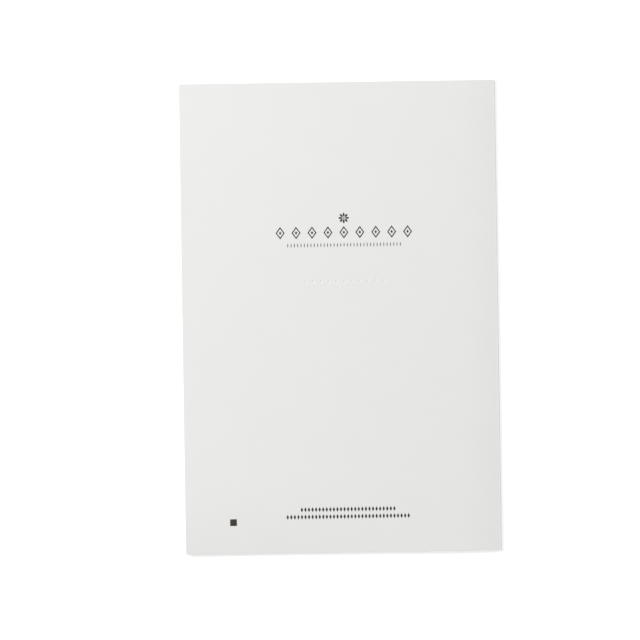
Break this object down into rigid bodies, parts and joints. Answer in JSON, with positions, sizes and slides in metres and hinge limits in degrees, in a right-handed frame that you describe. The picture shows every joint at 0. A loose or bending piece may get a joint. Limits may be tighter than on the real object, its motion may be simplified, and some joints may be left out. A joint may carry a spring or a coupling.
{
  "type": "greeting card",
  "caption": "Closed portrait greeting card: a sheet of cover stock scored and folded once, lying on its front panel, with print and a pressed row of dots on the back.",
  "frame": {"origin": "middle of the closed card's footprint, on the surface that its front panel lies on", "axes": "+X towards the fold, +Y up the page, +Z out of the back panel"},
  "size_m": [0.128, 0.1906, 0.0031],
  "materials": {
    "cover_stock": "matte",
    "charcoal_ink": "satin"
  },
  "bodies": {
    "root": {"card": "cover_stock", "emblem_print": "charcoal_ink", "rule_print": "charcoal_ink", "footer_print": "charcoal_ink", "square_print": "charcoal_ink"}
  },
  "joints": []
}
